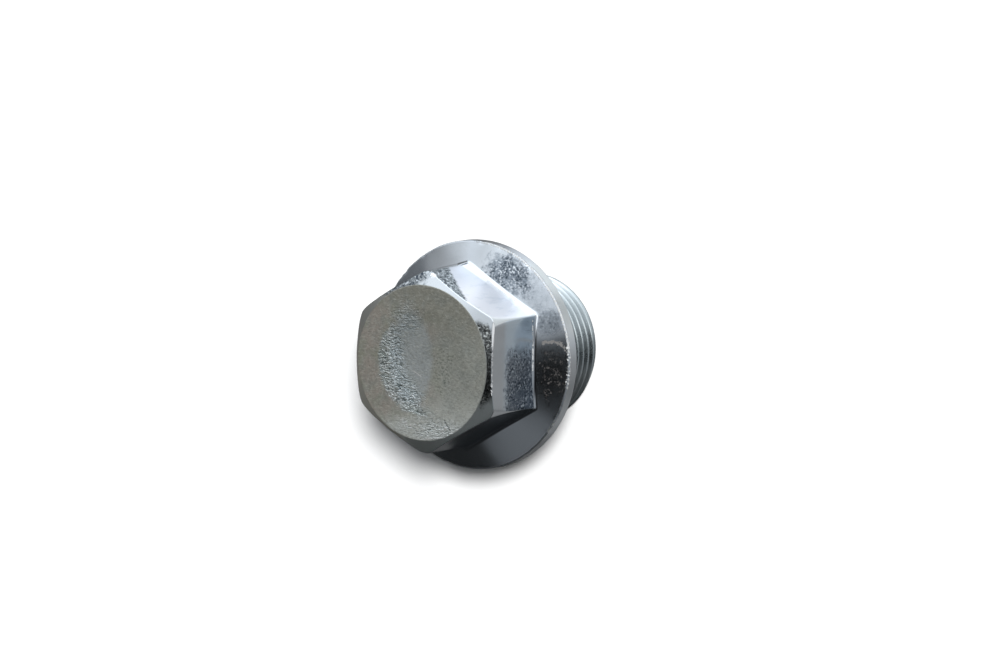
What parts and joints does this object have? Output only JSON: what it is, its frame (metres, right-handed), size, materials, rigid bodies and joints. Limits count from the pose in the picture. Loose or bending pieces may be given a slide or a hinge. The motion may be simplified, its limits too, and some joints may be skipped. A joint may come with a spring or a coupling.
{
  "type": "drain plug",
  "caption": "Screw-in drain plug with a hexagon head on a wide conical flange and a short threaded shank.",
  "frame": {"origin": "centre of the shank's flat end, which the plug stands on", "axes": "+Z along the thread's axis towards the head, +X square to one flat of the hexagon"},
  "size_m": [0.0364, 0.0364, 0.0333],
  "materials": {
    "zinc_plated_steel": "bright zinc plating over a forged and turned surface, slightly mottled"
  },
  "bodies": {
    "root": {"drain_plug": "zinc_plated_steel"}
  },
  "joints": []
}
